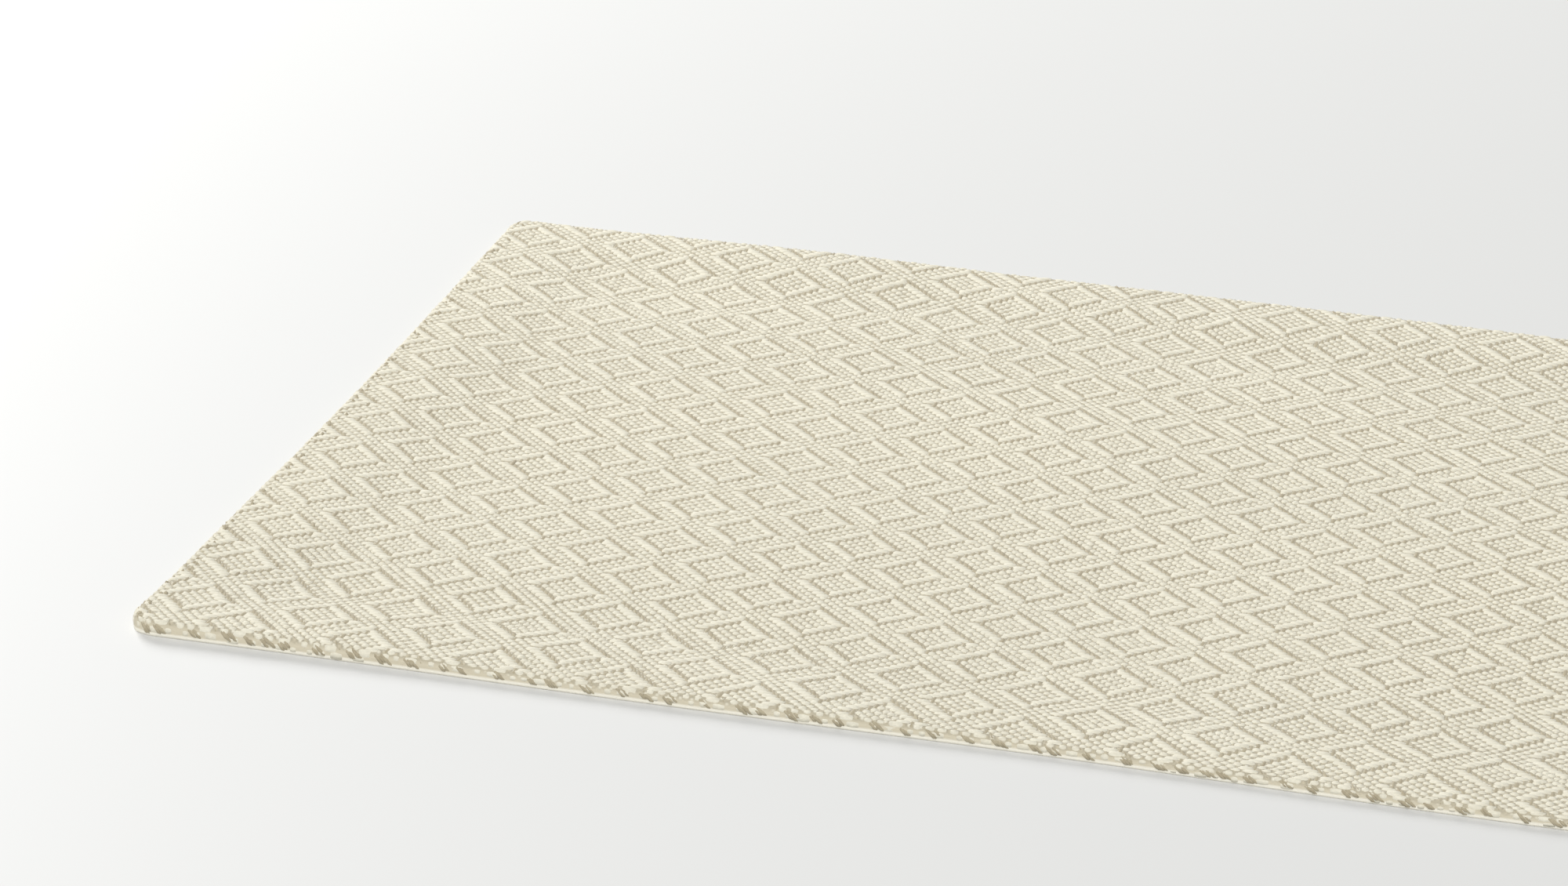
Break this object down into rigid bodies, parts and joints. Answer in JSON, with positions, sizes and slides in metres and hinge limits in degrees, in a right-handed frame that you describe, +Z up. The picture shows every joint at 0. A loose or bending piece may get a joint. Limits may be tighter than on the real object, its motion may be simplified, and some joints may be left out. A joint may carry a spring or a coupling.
{
  "type": "woven fabric placemat",
  "caption": "Flat rectangular woven cotton placemat, cream with small beige diamond outlines, its hem turned under all round.",
  "frame": {"origin": "centre of the bounding box at the mat's underside, on the surface that it lies on", "axes": "+X along the long edge, +Y from the near long edge to the far one, +Z up out of the patterned side"},
  "size_m": [0.479, 0.3326, 0.0046],
  "materials": {
    "woven_cotton": "matt undyed cotton, thick cream filling yarns over thin beige warp yarns, with a slightly raised weave"
  },
  "bodies": {
    "root": {"mat": "woven_cotton"}
  },
  "joints": []
}
